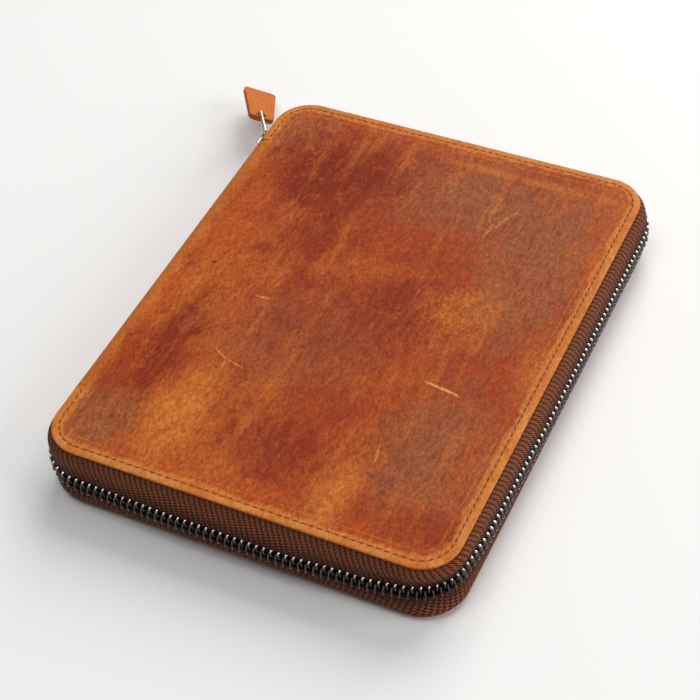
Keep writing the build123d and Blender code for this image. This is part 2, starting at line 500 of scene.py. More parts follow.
def noise(tree, vector, scale, detail=3.0, rough=0.55, distortion=0.0):
    sizes = {"Scale": scale, "Detail": detail, "Roughness": rough, "Distortion": distortion}
    return node(tree, "TexNoise", Vector=vector, **sizes).outputs["Fac"]


def stretched(tree, vector, scale, turned=0.0):
    made = node(tree, "Mapping", {"vector_type": "POINT"}, Vector=vector)
    made.inputs["Rotation"].default_value = (0, 0, turned)
    made.inputs["Scale"].default_value = scale
    return made.outputs[0]


def new_group(name, inputs, outputs):
    """An empty node group with its sockets; gives the tree, its inputs and its output node."""
    tree = bpy.data.node_groups.new(name, "ShaderNodeTree")
    for title, kind, value in inputs:
        socket = tree.interface.new_socket(title, in_out="INPUT", socket_type="NodeSocket" + kind)
        if value is not None:
            socket.default_value = value
    for title, kind in outputs:
        tree.interface.new_socket(title, in_out="OUTPUT", socket_type="NodeSocket" + kind)
    given = tree.nodes.new("NodeGroupInput").outputs
    result = tree.nodes.new("NodeGroupOutput").inputs
    return tree, given, result


def use_group(tree, group, **inputs):
    made = tree.nodes.new("ShaderNodeGroup")
    made.node_tree = group
    for key, value in inputs.items():
        give(tree, made.inputs[key.replace("_", " ")], value)
    return made


def new_material(name):
    """A material with its Principled shader; gives the material, tree, shader and coordinates."""
    material = bpy.data.materials.new(name)
    material.use_nodes = True
    tree = material.node_tree
    shader = tree.nodes["Principled BSDF"]
    place = tree.nodes.new("ShaderNodeTexCoord")
    return material, tree, shader, place


def finish(tree, shader, colour, rough, height, strength, depth):
    """Join a colour, a roughness and a bump of some strength and depth to the shader."""
    give(tree, shader.inputs["Base Color"], colour)
    give(tree, shader.inputs["Roughness"], rough)
    bump = node(tree, "Bump", Strength=strength, Distance=depth, Height=height)
    give(tree, shader.inputs["Normal"], bump.outputs[0])


def srgb(code):
    """Linear colour of a six-digit hex code."""
    parts = [int(code[i : i + 2], 16) / 255 for i in (0, 2, 4)]
    return (*[c / 12.92 if c <= 0.04045 else ((c + 0.055) / 1.055) ** 2.4 for c in parts], 1)


# ---- Node groups shared by the materials ----


def make_spot_group():
    """Mask of a soft oval spot round a centre, ragged by a noise that the material gives."""
    tree, given, result = new_group(
        "soft_spot",
        [
            ("Vector", "Vector", None),
            ("Centre", "Vector", (0, 0, 0)),
            ("Size", "Vector", (1, 1, 1)),
            ("Ragged", "Float", 0.0),
        ],
        [("Mask", "Float")],
    )
    away = node(tree, "VectorMath", {"operation": "SUBTRACT"}, i0=given["Vector"], i1=given["Centre"])
    scaled = node(tree, "VectorMath", {"operation": "DIVIDE"}, i0=away.outputs[0], i1=given["Size"])
    length = node(tree, "VectorMath", {"operation": "LENGTH"}, i0=scaled.outputs[0]).outputs["Value"]
    ragged = plus(tree, length, given["Ragged"])
    tree.links.new(fade(tree, ragged, 1.15, 0.25), result["Mask"])
    return tree


def make_edge_group():
    """How far a point lies inside the cover's rounded outline, in metres."""
    tree, given, result = new_group("edge_distance", [("Vector", "Vector", None)], [("Inside", "Float")])
    apart = node(tree, "SeparateXYZ", Vector=given["Vector"])
    middle_x = (edge_x + zip_x) / 2
    across = sums(tree, "ABSOLUTE", minus(tree, apart.outputs["X"], middle_x))
    along = sums(tree, "ABSOLUTE", apart.outputs["Y"])
    over_x = minus(tree, across, (zip_x - edge_x) / 2 - corner_radius)
    over_y = minus(tree, along, back_y - corner_radius)
    both = node(
        tree,
        "CombineXYZ",
        X=sums(tree, "MAXIMUM", over_x, 0.0),
        Y=sums(tree, "MAXIMUM", over_y, 0.0),
    )
    outer = node(tree, "VectorMath", {"operation": "LENGTH"}, i0=both.outputs[0]).outputs["Value"]
    inner = sums(tree, "MINIMUM", sums(tree, "MAXIMUM", over_x, over_y), 0.0)
    signed = minus(tree, plus(tree, outer, inner), corner_radius)
    tree.links.new(times(tree, signed, -1.0), result["Inside"])
    return tree


def make_grain_group():
    """Height of fine leather grain with pores and soft creases."""
    tree, given, result = new_group(
        "leather_grain",
        [("Vector", "Vector", None), ("Scale", "Float", 1.0)],
        [("Height", "Float"), ("Pores", "Float")],
    )
    scaled = node(tree, "VectorMath", {"operation": "SCALE"}, i0=given["Vector"], Scale=given["Scale"])
    cells = node(
        tree,
        "TexVoronoi",
        {"feature": "DISTANCE_TO_EDGE"},
        Vector=scaled.outputs[0],
        Scale=1150.0,
        Randomness=0.9,
    )
    pebbles = fade(tree, cells.outputs["Distance"], 0.0, 0.35)
    fine = noise(tree, scaled.outputs[0], 2600.0, 2.0)
    creases = noise(tree, stretched(tree, scaled.outputs[0], (1, 0.35, 1), 0.5), 420.0, 3.0)
    height = times(tree, pebbles, 0.45)
    height = plus(tree, height, times(tree, fine, 0.35))
    height = plus(tree, height, times(tree, creases, 0.6))
    tree.links.new(height, result["Height"])
    tree.links.new(pebbles, result["Pores"])
    return tree


def make_scratch_group():
    """Mask of one thin scratch along X through a point that the material has moved to zero."""
    tree, given, result = new_group(
        "scratch_mark",
        [("Vector", "Vector", None), ("Length", "Float", 0.01), ("Width", "Float", 0.0003)],
        [("Mask", "Float")],
    )
    wander = noise(tree, given["Vector"], 220.0, 2.0)
    apart = node(tree, "SeparateXYZ", Vector=given["Vector"])
    bent = plus(tree, apart.outputs["Y"], times(tree, wander, 0.0016))
    bent = sums(tree, "ABSOLUTE", minus(tree, bent, 0.0008))
    share = sums(tree, "DIVIDE", sums(tree, "ABSOLUTE", apart.outputs["X"]), given["Length"])
    ends = fade(tree, share, 0.5, 0.3)
    thin = times(tree, given["Width"], plus(tree, ends, 0.15))
    line = fade(tree, sums(tree, "DIVIDE", bent, thin), 1.0, 0.45)
    tree.links.new(times(tree, line, ends), result["Mask"])
    return tree


def make_weave_group():
    """Ribbed twill: broad ribs across the tape, broken up by fine slanting yarns."""
    tree, given, result = new_group(
        "twill_weave",
        [
            ("Vector", "Vector", None),
            ("Rib", "Float", 1.9 * MM),
            ("Yarn", "Float", 0.95 * MM),
            ("Slant", "Float", -0.35),
        ],
        [("Height", "Float"), ("Shade", "Float")],
    )
    apart = node(tree, "SeparateXYZ", Vector=given["Vector"])
    along, across = apart.outputs["X"], apart.outputs["Y"]

    def wave(value, pitch):
        turns = times(tree, sums(tree, "DIVIDE", value, pitch), 2 * pi)
        return times(tree, plus(tree, sums(tree, "SINE", turns), 1.0), 0.5)

    rib = wave(plus(tree, along, times(tree, across, given["Slant"])), given["Rib"])
    twill = wave(minus(tree, along, times(tree, across, 0.9)), given["Yarn"])
    weft = wave(plus(tree, across, times(tree, along, 0.3)), given["Yarn"])
    yarn = times(tree, plus(tree, twill, 0.35), plus(tree, weft, 0.35))
    height = plus(tree, times(tree, rib, 0.5), times(tree, yarn, 0.55))
    fluff = noise(tree, given["Vector"], 3000.0, 2.0)
    tree.links.new(plus(tree, height, times(tree, fluff, 0.2)), result["Height"])
    tree.links.new(times(tree, plus(tree, rib, 0.5), yarn), result["Shade"])
    return tree


spot_group = make_spot_group()
edge_group = make_edge_group()
grain_group = make_grain_group()
scratch_group = make_scratch_group()
weave_group = make_weave_group()

# ---- Materials ----

honey = srgb("C0702A")
tan = srgb("A8521C")
ember = srgb("AC4C18")
russet = srgb("92380F")
oxblood = srgb("762006")
umber = srgb("88502E")
pale_gold = srgb("C98442")
scratch_gold = srgb("D08A44")
burn = srgb("300E04")

# Soft patches of the waxed hide: centre and half size in millimetres, colour and strength
hide_patches = [
    ((0, 10), (60, 80), russet, 0.45),
    ((20, 62), (56, 28), umber, 0.95),
    ((50, 30), (24, 45), umber, 0.8),
    ((50, -46), (26, 34), umber, 0.9),
    ((-57, -74), (16, 18), umber, 0.95),
    ((-14, -22), (40, 30), umber, 0.45),
    ((-58, 76), (18, 16), umber, 0.6),
    ((-32, 61), (36, 24), oxblood, 1.0),
    ((-44, 50), (14, 20), oxblood, 0.8),
    ((-27, 32), (16, 30), oxblood, 0.7),
    ((-66, 36), (6, 16), oxblood, 0.75),
    ((-51, -38), (10, 30), oxblood, 0.85),
    ((18, 6), (22, 20), oxblood, 0.7),
    ((-4, -10), (34, 26), oxblood, 0.45),
    ((4, -64), (22, 16), oxblood, 0.65),
    ((58, -76), (20, 8), oxblood, 0.45),
    ((-57, 20), (12, 34), ember, 0.8),
    ((-62, -20), (7, 22), ember, 0.6),
    ((66, 52), (4, 22), ember, 0.6),
    ((60, -44), (5, 26), ember, 0.55),
    ((12, -84), (60, 6), ember, 0.4),
    ((-33, -62), (11, 32), honey, 0.8),
    ((-38, -12), (7, 18), ember, 0.5),
    ((28, -76), (9, 20), honey, 0.8),
    ((34, 10), (13, 15), honey, 0.3),
    ((64, -2), (8, 22), honey, 0.35),
    ((28, 79), (46, 2.5), honey, 0.45),
    ((-55, 1.6), (1.7, 1.0), burn, 1.0),
]

# Scratches: middle in millimetres, angle in degrees, length and width in millimetres, strength
hide_scratches = [
    ((41, -23.0), -9, 17, 0.6, 0.95),
    ((-31, -7.4), 3, 6.5, 0.35, 0.8),
    ((-32.5, -35.5), -30, 8, 0.3, 0.6),
    ((-25.5, -38), -14, 9, 0.3, 0.6),
    ((-29.2, -39), -80, 9, 0.25, 0.5),
    ((33, -54), -78, 12, 0.25, 0.45),
    ((30, 56), 68, 18, 0.5, 0.3),
    ((27, 50), 84, 10, 0.45, 0.3),
]


def crease_lines(tree, spot, scale, angle, warp, width):
    """Fine wandering lines, drawn out at an angle."""
    wander = node(tree, "TexNoise", Vector=spot, Scale=scale * 1.6, Detail=4.0).outputs["Color"]
    wander = node(tree, "VectorMath", {"operation": "SCALE"}, i0=wander, Scale=warp).outputs[0]
    drawn = stretched(tree, spot, (1, 0.4, 1), angle)
    moved = node(tree, "VectorMath", {"operation": "ADD"}, i0=drawn, i1=wander).outputs[0]
    cells = node(tree, "TexVoronoi", {"feature": "DISTANCE_TO_EDGE"}, Vector=moved, Scale=scale)
    return fade(tree, cells.outputs["Distance"], width, 0.0)


def spot_mask(tree, flat, middle, half, ragged):
    """Mask of one soft spot, its middle and half size in millimetres."""
    centre = (middle[0] * MM, middle[1] * MM, 0)
    size = (half[0] * MM, half[1] * MM, 1)
    made = use_group(tree, spot_group, Vector=flat, Centre=centre, Size=size, Ragged=ragged)
    return made.outputs["Mask"]


def swung(tree, value, amount):
    """A noise moved to lie about zero, times an amount."""
    return times(tree, minus(tree, value, 0.5), amount)


def line_at(tree, inside, inset, half_width, edge=0.0):
    """Mask of a line that follows the cover's edge at an inset."""
    return fade(tree, sums(tree, "ABSOLUTE", minus(tree, inside, inset)), half_width, edge)


def rubbed_edges(tree, spot, cloud, fibre, inside, colour):
    """Gold where the hide's edge is burnished, along the stitches and over the fold."""
    apart = node(tree, "SeparateXYZ", Vector=spot)
    wobble = plus(tree, swung(tree, cloud, 7.0 * MM), swung(tree, fibre, 3.0 * MM))
    on_spine = times(
        tree,
        fade(tree, sums(tree, "ABSOLUTE", apart.outputs["Y"]), spine_back_y, spine_back_y - 4 * MM),
        fade(tree, apart.outputs["X"], -50 * MM, -56 * MM),
    )
    free_edge = minus(tree, 1.0, on_spine)
    gold = blend_colour(tree, fade(tree, cloud, 0.4, 0.62), honey, pale_gold)
    rim = fade(tree, plus(tree, inside, wobble), 5.2 * MM, 3.4 * MM)
    groove = line_at(tree, inside, stitch_inset, 0.7 * MM, 0.1 * MM)
    pressed = line_at(tree, inside, 6.3 * MM, 0.6 * MM)
    for mask, strength, tone in ((rim, 0.8, gold), (groove, 0.45, umber), (pressed, 0.3, honey)):
        mask = times(tree, mask, free_edge)
        colour = blend_colour(tree, times(tree, mask, strength), colour, tone)
    fold = plus(tree, apart.outputs["X"], times(tree, wobble, 1.6))
    fold = fade(tree, fold, -62 * MM, fold_x - 2.5 * MM)
    turned = sums(tree, "ABSOLUTE", minus(tree, apart.outputs["Z"], mid_z))
    fold = times(tree, fold, fade(tree, turned, 4 * MM, 9 * MM, 0.25, 0.75))
    return blend_colour(tree, fold, colour, honey)


def scratched(tree, flat, colour, marks):
    """Lay the scratches over a colour, and add them to the marks that dent the surface."""
    for (x, y), angle, length, width, strength in hide_scratches:
        moved = node(tree, "Mapping", {"vector_type": "TEXTURE"}, Vector=flat)
        moved.inputs["Location"].default_value = (x * MM, y * MM, 0)
        moved.inputs["Rotation"].default_value = (0, 0, radians(angle))
        scratch = use_group(
            tree, scratch_group, Vector=moved.outputs[0], Length=length * MM, Width=width * MM
        )
        mark = times(tree, scratch.outputs["Mask"], strength)
        colour = blend_colour(tree, mark, colour, scratch_gold)
        marks = sums(tree, "MAXIMUM", marks, mark)
    return colour, marks


def flecked(tree, speck, colour, share):
    """Break a colour up with fine flecks, paler and darker."""
    flecks = node(
        tree,
        "CombineColor",
        Red=fade(tree, speck, 0.32, 0.68, 0.74, 1.18),
        Green=fade(tree, speck, 0.32, 0.68, 0.58, 1.24),
        Blue=fade(tree, speck, 0.32, 0.68, 0.5, 1.28),
    ).outputs[0]
    return blend_colour(tree, share, colour, blend_colour(tree, 1.0, colour, flecks, "MULTIPLY"))


def waxed_leather(name, patched=True, light=0.0, rough=0.56):
    """Waxed pull-up leather: mottled tan and oxblood, paler where it is bent or rubbed."""
    material, tree, shader, place = new_material(name)
    spot = place.outputs["Object"]
    broad = noise(tree, spot, 26.0, 4.0, 0.6, 0.6)
    cloud = noise(tree, spot, 110.0, 6.0, 0.7, 0.5)
    fibre = noise(tree, stretched(tree, spot, (1, 0.3, 1), 0.12), 520.0, 5.0, 0.7, 0.3)
    speck = noise(tree, stretched(tree, spot, (1, 0.5, 1), 0.3), 1300.0, 3.0, 0.7)
    streak = noise(tree, stretched(tree, spot, (1, 0.14, 1), 0.05), 150.0, 5.0, 0.65)
    colour = blend_colour(tree, fade(tree, broad, 0.4, 0.62), tan, russet)
    if patched:
        flat = node(tree, "VectorMath", {"operation": "MULTIPLY"}, i0=spot, i1=(1, 1, 0)).outputs[0]
        ragged = swung(tree, cloud, 1.1)
        for part, amount in ((broad, 0.9), (fibre, 0.4), (streak, 0.6)):
            ragged = plus(tree, ragged, swung(tree, part, amount))
        for middle, half, tone, strength in hide_patches:
            mask = spot_mask(tree, flat, middle, half, ragged)
            colour = blend_colour(tree, times(tree, mask, strength), colour, tone)
    pale = times(tree, fade(tree, streak, 0.52, 0.72), 0.4)
    colour = blend_colour(tree, pale, colour, honey)
    colour = blend_colour(tree, fade(tree, fibre, 0.5, 0.7, 0.0, 0.4), colour, tan)
    colour = blend_colour(tree, fade(tree, fibre, 0.48, 0.34, 0.0, 0.45), colour, oxblood)
    colour = blend_colour(tree, fade(tree, cloud, 0.46, 0.36, 0.0, 0.35), colour, oxblood)
    lines = crease_lines(tree, spot, 150.0, 0.6, 0.01, 0.05)
    marks = times(tree, lines, fade(tree, cloud, 0.44, 0.6, 0.0, 0.4))
    if patched:
        cluster = spot_mask(tree, flat, (33, 10), (17, 18), times(tree, ragged, 0.5))
        fine = crease_lines(tree, spot, 330.0, 0.75, 0.004, 0.09)
        marks = sums(tree, "MAXIMUM", marks, times(tree, fine, cluster))
    colour = blend_colour(tree, times(tree, marks, 0.8), colour, honey)
    calm = 0.8
    if patched:
        inside = use_group(tree, edge_group, Vector=spot).outputs["Inside"]
        colour = rubbed_edges(tree, spot, cloud, fibre, inside, colour)
        colour, marks = scratched(tree, flat, colour, marks)
        calm = fade(tree, inside, 2.4 * MM, 5 * MM, 0.65, 1.0)
    colour = blend_colour(tree, light, colour, honey)
    colour = flecked(tree, speck, colour, calm)
    dull = plus(tree, times(tree, cloud, 0.28), rough - 0.14)
    dull = plus(tree, dull, times(tree, speck, 0.1))
    shader.inputs["Specular IOR Level"].default_value = 0.14
    grain = use_group(tree, grain_group, Vector=spot, Scale=1.0)
    height = plus(tree, grain.outputs["Height"], times(tree, broad, 3.0))
    height = minus(tree, plus(tree, height, fibre), times(tree, marks, 0.8))
    finish(tree, shader, colour, dull, height, 0.7, 0.18 * MM)
    return material


def woven_tape(name, base, painted_ridge_highlight):
    """Zip tape in a ribbed twill that follows the piece's own UV map, in metres."""
    material, tree, shader, place = new_material(name)
    weave = use_group(tree, weave_group, Vector=place.outputs["UV"])
    tone = noise(tree, place.outputs["Object"], 120.0, 3.0)
    # Painted shade and highlight: the weave's grooves take the dark base colour and its ridges the pale
    # ridge colour
    colour = blend_colour(tree, fade(tree, weave.outputs["Shade"], 0.08, 1.15), srgb(base), srgb(painted_ridge_highlight))
    wear_and_painted_shade_share = times(tree, fade(tree, tone, 0.45, 0.75), 0.25)
    colour = blend_colour(tree, wear_and_painted_shade_share, colour, srgb("7A3A1A"))
    # Painted shade: the tape is coloured darker towards the chain, standing in for the shade under the
    # teeth
    across = node(tree, "SeparateXYZ", Vector=place.outputs["UV"]).outputs["Y"]
    painted_shade_near_chain = fade(tree, across, 8.5 * MM, 3.5 * MM, 0.0, 0.6)
    colour = blend_colour(tree, painted_shade_near_chain, colour, srgb(base))
    shader.inputs["Specular IOR Level"].default_value = 0.15
    finish(tree, shader, colour, 0.8, weave.outputs["Height"], 1.0, 0.5 * MM)
    return material


def bright_metal(name, base, rough, painted_shade_on_shafts=False):
    """Nickel with faint tarnish; on the teeth the shafts are painted dark as shade and dark reflection,
    so only the ends stay bright.
    """
    material, tree, shader, place = new_material(name)
    cloud = noise(tree, place.outputs["Object"], 400.0, 4.0)
    fine = noise(tree, place.outputs["Object"], 3500.0, 2.0)
    tarnish = times(tree, fade(tree, cloud, 0.5, 0.75), 0.35)
    colour = blend_colour(tree, tarnish, srgb(base), srgb("6E675C"))
    dull = plus(tree, times(tree, cloud, 0.2), rough)
    if painted_shade_on_shafts:
        height = node(tree, "SeparateXYZ", Vector=place.outputs["Object"]).outputs["Z"]
        height = sums(tree, "ABSOLUTE", minus(tree, height, mid_z))
        # Painted shade and dark reflection: below the ends the teeth's shafts are coloured dark grey;
        # only the ends keep the bright nickel
        wear_and_painted_shade_share = fade(tree, height, 2.2 * MM, 2.8 * MM)
        colour = blend_colour(tree, wear_and_painted_shade_share, srgb("5A5550"), colour)
        dull = plus(tree, dull, fade(tree, height, 2.7 * MM, 1.9 * MM, 0.0, 0.12))
    shader.inputs["Metallic"].default_value = 1.0
    finish(tree, shader, colour, dull, fine, 0.15, 0.05 * MM)
    return material


def waxed_thread(name):
    """Dark waxed linen thread."""
    material, tree, shader, place = new_material(name)
    strands = noise(tree, place.outputs["Object"], 2400.0, 2.0)
    colour = blend_colour(tree, strands, srgb("6E2C08"), srgb("9C4C16"))
    shader.inputs["Specular IOR Level"].default_value = 0.1
    finish(tree, shader, colour, 0.7, strands, 0.6, 0.08 * MM)
    return material


def plain_cloth(name, base, painted_ridge_highlight, coordinates="Object"):
    """Fine cotton twill for the lining."""
    material, tree, shader, place = new_material(name)
    weave = use_group(
        tree, weave_group, Vector=place.outputs[coordinates], Rib=0.7 * MM, Yarn=0.4 * MM, Slant=1.0
    )
    tone = noise(tree, place.outputs["Object"], 60.0, 3.0)
    # Painted shade and highlight: the lining's weave is darker in its grooves and paler on its ridges
    colour = blend_colour(tree, weave.outputs["Shade"], srgb(base), srgb(painted_ridge_highlight))
    colour = blend_colour(tree, fade(tree, tone, 0.35, 0.65, 0.0, 0.5), colour, srgb("2E1A0E"))
    shader.inputs["Sheen Weight"].default_value = 0.2
    finish(tree, shader, colour, 0.88, weave.outputs["Height"], 0.5, 0.12 * MM)
    return material


def stiff_board(name):
    """Grey-brown pressed board."""
    material, tree, shader, place = new_material(name)
    fibre = noise(tree, stretched(tree, place.outputs["Object"], (1, 0.3, 1)), 900.0, 4.0)
    colour = blend_colour(tree, fibre, srgb("2E2822"), srgb("5A5046"))
    finish(tree, shader, colour, 0.9, fibre, 0.4, 0.1 * MM)
    return material


hide_leather = waxed_leather("hide_leather")
tab_leather = waxed_leather("tab_leather", patched=False, light=0.6)
pocket_hide = waxed_leather("pocket_hide", patched=False, light=0.0, rough=0.6)
tape_cloth = woven_tape("tape_cloth", "140501", "A46040")
cord_cloth = woven_tape("cord_cloth", "1E0C05", "4A2412")
tooth_metal = bright_metal("tooth_metal", "F0ECE4", 0.12, painted_shade_on_shafts=True)
slider_metal = bright_metal("slider_metal", "D6D2CA", 0.16)
thread = waxed_thread("thread")
lining_cloth = plain_cloth("lining_cloth", "3E2414", "7A5236")
board_material = stiff_board("board_material")


def clothe(piece, material):
    """Give a piece its one material."""
    piece.data.materials.clear()
    piece.data.materials.append(material)


# ---- The hide and the lining: sheets that fold round the spine ----


def folded_sheet(name, depth, inset, steps, end_gap, thickness, round_edge):
    """The upper half of a sheet that covers the front and wraps half of the spine.

    depth is from the case's outer faces to the sheet's. steps are (inset, rise) pairs that shape
    the rim and the stitch groove.
    """
    past_middle = 2 * MM
    rise = sum(step[1] for step in steps)
    left, right = edge_x + inset, zip_x - inset
    half_y = back_y - inset
    bpy.ops.mesh.primitive_plane_add(size=1, location=((left + right) / 2, 0, case_top - depth - rise))
    bpy.context.object.scale = (right - left, 2 * half_y, 1)
    sheet = fresh(name)
    edit(sheet)
    bpy.ops.mesh.select_all(action="SELECT")
    bpy.ops.mesh.bevel(offset=corner_radius - inset, segments=14, affect="VERTICES")
    pick("FACE", lambda middle: True)
    for step_in, step_up in steps:
        bpy.ops.mesh.inset(thickness=step_in, use_even_offset=True)
        bpy.ops.transform.translate(value=(0, 0, step_up))
    low_y, high_y = spine_front_y + end_gap, spine_back_y - end_gap
    for end_y in (low_y, high_y):
        bpy.ops.mesh.select_all(action="SELECT")
        bpy.ops.mesh.bisect(plane_co=(0, end_y, 0), plane_no=(0, 1, 0), threshold=1e-6)
    pick("FACE", lambda m: low_y < m.y < high_y)
    bpy.ops.mesh.bisect(plane_co=(fold_x, 0, 0), plane_no=(1, 0, 0), threshold=1e-6)
    pick("FACE", lambda m: m.x < fold_x - 1e-5 and low_y < m.y < high_y)
    bpy.ops.mesh.delete(type="FACE")
    pick("EDGE", lambda m: abs(m.x - fold_x) < 1e-5 and low_y < m.y < high_y)
    centre = (fold_x, 0, case_top - fold_radius)
    swing(pi / 2, centre, (0, -1, 0), 10)
    push((0, 0, mid_z - past_middle - centre[2]))
    done()
    if sheet.data.polygons[0].normal.z < 0:
        sheet.data.flip_normals()
    modify(sheet, "SOLIDIFY", thickness=thickness, offset=-1, use_even_offset=True)
    modify(
        sheet,
        "BEVEL",
        width=round_edge,
        segments=3,
        limit_method="ANGLE",
        angle_limit=radians(60),
        use_clamp_overlap=False,
    )
    edit(sheet)
    bpy.ops.mesh.select_all(action="SELECT")
    bpy.ops.mesh.bisect(
        plane_co=(0, 0, mid_z), plane_no=(0, 0, 1), use_fill=True, clear_inner=True
    )
    done()
    face_outwards(sheet)
    soften(sheet)
    return sheet


def fold_over(piece, upper):
    """Bake a piece's transform into its mesh, alike for either half."""
    if upper:
        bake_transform(piece)
    else:
        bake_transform(piece)


rim_steps = [
    (0.5 * MM, 0.18 * MM),
    (0.8 * MM, 0.06 * MM),
    (1.0 * MM, 0.0),
    (0.4 * MM, -0.16 * MM),
    (0.4 * MM, 0.16 * MM),
]
upper_hide = folded_sheet("upper_hide", 0, 0, rim_steps, 0, hide, 0.28 * MM)
lower_hide = mirrored(upper_hide, "lower_hide")
for piece, upper in ((upper_hide, True), (lower_hide, False)):
    clothe(piece, hide_leather)
    fold_over(piece, upper)
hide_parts("front_cover_leather", "spine_leather")
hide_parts("back_cover_leather")

upper_lining = folded_sheet(
    "upper_lining", lining_z, 3.0 * MM, [(0.15 * MM, 0.05 * MM)], 1.0 * MM, lining, 0.15 * MM
)
lower_lining = mirrored(upper_lining, "lower_lining")
for piece in (upper_lining, lower_lining):
    clothe(piece, lining_cloth)
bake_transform(upper_lining)
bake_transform(lower_lining)
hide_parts("front_lining", "spine_lining")
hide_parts("back_lining")

# ---- Stitching ----


def stitch_run():
    """Where the thread runs on the upper half: over the spine's ends and round the cover."""
    back_line = spine_back_y - stitch_inset
    front_line = spine_front_y + stitch_inset
    left = edge_x + stitch_inset
    outer = spine_x + stitch_sink
    radius = fold_radius - stitch_sink
    fold_z = case_top - fold_radius
    lead = asin((fold_x - left) / radius)
    top = fold_z + radius * cos(lead)
    sweep_angle = pi / 2 - lead
    outward = Vector((-1, 0, 0))
    return [
        straight((outer, back_line, mid_z), (outer, back_line, fold_z), outward),
        turn((fold_x, back_line, fold_z), (outer, back_line, fold_z), (0, 1, 0), sweep_angle),
        *cover_run(stitch_inset, case_top - stitch_sink, back_line, front_line),
        turn((fold_x, front_line, fold_z), (left, front_line, top), (0, -1, 0), sweep_angle),
        straight((outer, front_line, fold_z), (outer, front_line, mid_z), outward),
    ]


def make_stitch():
    """One stitch lying along X, its ends sunk into their holes."""
    rings = [
        (-1.15, 0.26, 0.22),
        (-0.95, 0.46, 0.4),
        (-0.4, 0.56, 0.5),
        (0.4, 0.56, 0.5),
        (0.95, 0.46, 0.4),
        (1.15, 0.26, 0.22),
    ]
    stitch = loft("stitch", [(h * MM, w * MM, d * MM) for h, w, d in rings], sides=6)
    edit(stitch)
    for beyond, sink in ((0.9 * MM, 0.16 * MM), (1.1 * MM, 0.18 * MM)):
        pick("VERT", lambda m: abs(m.z) > beyond)
        bpy.ops.transform.translate(value=(-sink, 0, 0))
    done()
    slant = Matrix.Rotation(radians(9), 4, "Z")
    lying = Matrix(((0, 0, 1), (0, -1, 0), (1, 0, 0))).to_4x4()
    stitch.data.transform(slant @ lying)
    face_outwards(stitch)
    soften(stitch)
    return stitch


upper_stitches = repeat(
    make_stitch(), places_along(stitch_run(), stitch_start, stitch_pitch), "upper_stitches"
)
lower_stitches = mirrored(upper_stitches, "lower_stitches")
for piece, upper in ((upper_stitches, True), (lower_stitches, False)):
    clothe(piece, thread)
    fold_over(piece, upper)

# ---- Zip tape and its cord ----

zip_run = cover_run(0, 0, spine_back_y + tape_end_gap, spine_front_y - tape_end_gap)


def single_point(name, spot):
    """A piece of one vertex, left in edit mode with the vertex selected."""
    bpy.ops.mesh.primitive_plane_add(size=MM)
    piece = fresh(name)
    edit(piece)
    bpy.ops.mesh.select_all(action="SELECT")
    bpy.ops.mesh.merge(type="CENTER")
    bpy.ops.transform.translate(value=spot)
    return piece


def map_along(piece):
    """UV map in metres: along the zip and across the tape."""
    layers = piece.data.uv_layers
    layer = layers[0] if layers else layers.new(name="weave")
    seen = {}
    for vertex in piece.data.vertices:
        along, outside = measure_along(zip_run, Vector((vertex.co.x, vertex.co.y, 0)))
        across = abs(vertex.co.z - mid_z) + (tape_out - outside)
        seen[vertex.index] = (along, across)
    for loop in piece.data.loops:
        layer.data[loop.index].uv = seen[loop.vertex_index]


def make_tape():
    """The upper tape: sewn in under the hide, turned down and hanging to the teeth."""
    start_y = spine_back_y + tape_end_gap
    turn_n = tape_out - tape_bend
    top = case_top - hide
    piece = single_point("upper_tape", (edge_x + tape_margin, start_y, top))
    bpy.ops.mesh.extrude_vertices_move(
        TRANSFORM_OT_translate={"value": (-(tape_margin + turn_n), 0, 0)}
    )
    centre = (edge_x - turn_n, start_y, top - tape_bend)
    swing(pi / 2, centre, (0, -1, 0), 7)
    drop = centre[2] - (mid_z + chain_height / 2)
    for _ in range(4):
        bpy.ops.mesh.extrude_vertices_move(TRANSFORM_OT_translate={"value": (0, 0, -drop / 4)})
    bpy.ops.mesh.select_all(action="SELECT")
    sweep(zip_run)
    done()
    return piece


upper_tape = make_tape()
outer = max(upper_tape.data.polygons, key=lambda face: face.center.x)
if outer.normal.x < 0:
    upper_tape.data.flip_normals()
modify(upper_tape, "SOLIDIFY", thickness=tape, offset=-1, use_even_offset=True)
face_outwards(upper_tape)
only(upper_tape)
bpy.ops.object.shade_smooth_by_angle(angle=radians(50))
map_along(upper_tape)
bow(upper_tape)
lower_tape = mirrored(upper_tape, "lower_tape")


def make_cord_edge():
    """The corded edge that the teeth are clamped to."""
    z = mid_z + chain_height / 2 - cord_drop
    bpy.ops.mesh.primitive_circle_add(
        vertices=8,
        radius=cord_radius,
        fill_type="NOTHING",
        location=(edge_x - (tape_out - tape / 2), spine_back_y + tape_end_gap, z),
        rotation=(pi / 2, 0, 0),
    )
    piece = fresh("upper_cord")
    edit(piece)
    bpy.ops.mesh.select_all(action="SELECT")
    sweep(zip_run)
    pick("EDGE", lambda m: True)
    bpy.ops.mesh.select_non_manifold()
    bpy.ops.mesh.edge_face_add()
    done()
    face_outwards(piece)
    only(piece)
    bpy.ops.object.shade_smooth_by_angle(angle=radians(60))
    return piece


upper_cord = make_cord_edge()
map_along(upper_cord)
bow(upper_cord)
lower_cord = mirrored(upper_cord, "lower_cord")

for piece, body in (
    (upper_tape, "front_cover"),
    (upper_cord, "front_cover"),
    (lower_tape, "back_cover"),
    (lower_cord, "back_cover"),
):
    clothe(piece, cord_cloth if "cord" in piece.name else tape_cloth)
    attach(piece, body)
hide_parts("upper_zip_tape")
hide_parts("lower_zip_tape")

# ---- Zip teeth and stops ----

